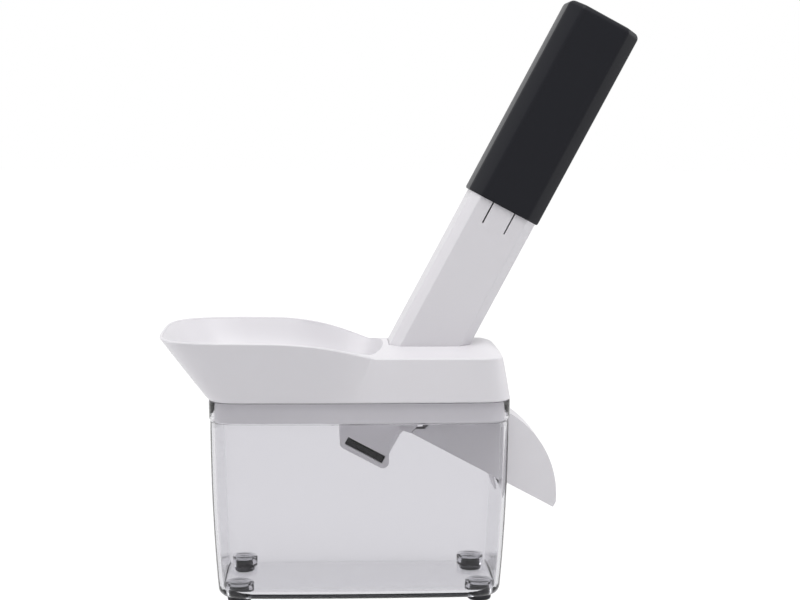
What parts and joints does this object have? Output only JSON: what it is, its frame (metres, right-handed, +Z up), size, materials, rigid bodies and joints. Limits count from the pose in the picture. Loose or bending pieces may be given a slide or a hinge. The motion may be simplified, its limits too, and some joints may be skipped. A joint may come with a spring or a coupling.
{
  "type": "cherry pitter",
  "caption": "Table-top cherry pitter: slanted spring-returned push handle, flared hopper, pitting chamber, hooded cherry chute and clear stone container on rubber feet.",
  "frame": {"origin": "on the table, under the middle of the whole outline in X and Y", "axes": "+Z up; +X towards the chute, where the pitted cherries come out; -Y towards the front with the gasket's slot"},
  "size_m": [0.2276, 0.108, 0.286],
  "materials": {
    "clear": "clear moulded plastic, polished",
    "rubber": "dark grey rubber, matt",
    "white": "white moulded plastic, satin gloss",
    "charcoal": "charcoal moulded plastic, satin",
    "steel": "bright steel",
    "natural": "natural bearing plastic, matt"
  },
  "bodies": {
    "base": {"stone_container": "clear", "foot_front_left": "rubber", "foot_front_right": "rubber", "foot_back_left": "rubber", "foot_back_right": "rubber"},
    "upper": {"housing": "white", "pitting_bracket": "white", "bracket_screws": "steel", "chute": "white", "chute_screws": "steel", "stripper": "white", "stripper_screws": "steel", "spring_washer": "steel", "return_spring": "steel", "gasket": "rubber"},
    "handle": {"handle_shaft": "white", "handle_grip": "charcoal", "plunger_rod": "natural", "pitting_pin": "steel", "pin_dowel": "steel", "rod_clip": "steel", "spring_cap": "natural"}
  },
  "joints": [
    {"name": "housing_lift", "type": "slide", "parent": "base", "child": "upper", "axis": [0, 0, 1], "range_m": [0, 0.08]},
    {"name": "handle_push", "type": "slide", "parent": "upper", "child": "handle", "axis": [-0.4695, 0, -0.8829], "range_m": [0, 0.041], "stiffness_N_per_m": 400, "springref_m": -0.02, "deforming": ["return_spring"]}
  ]
}
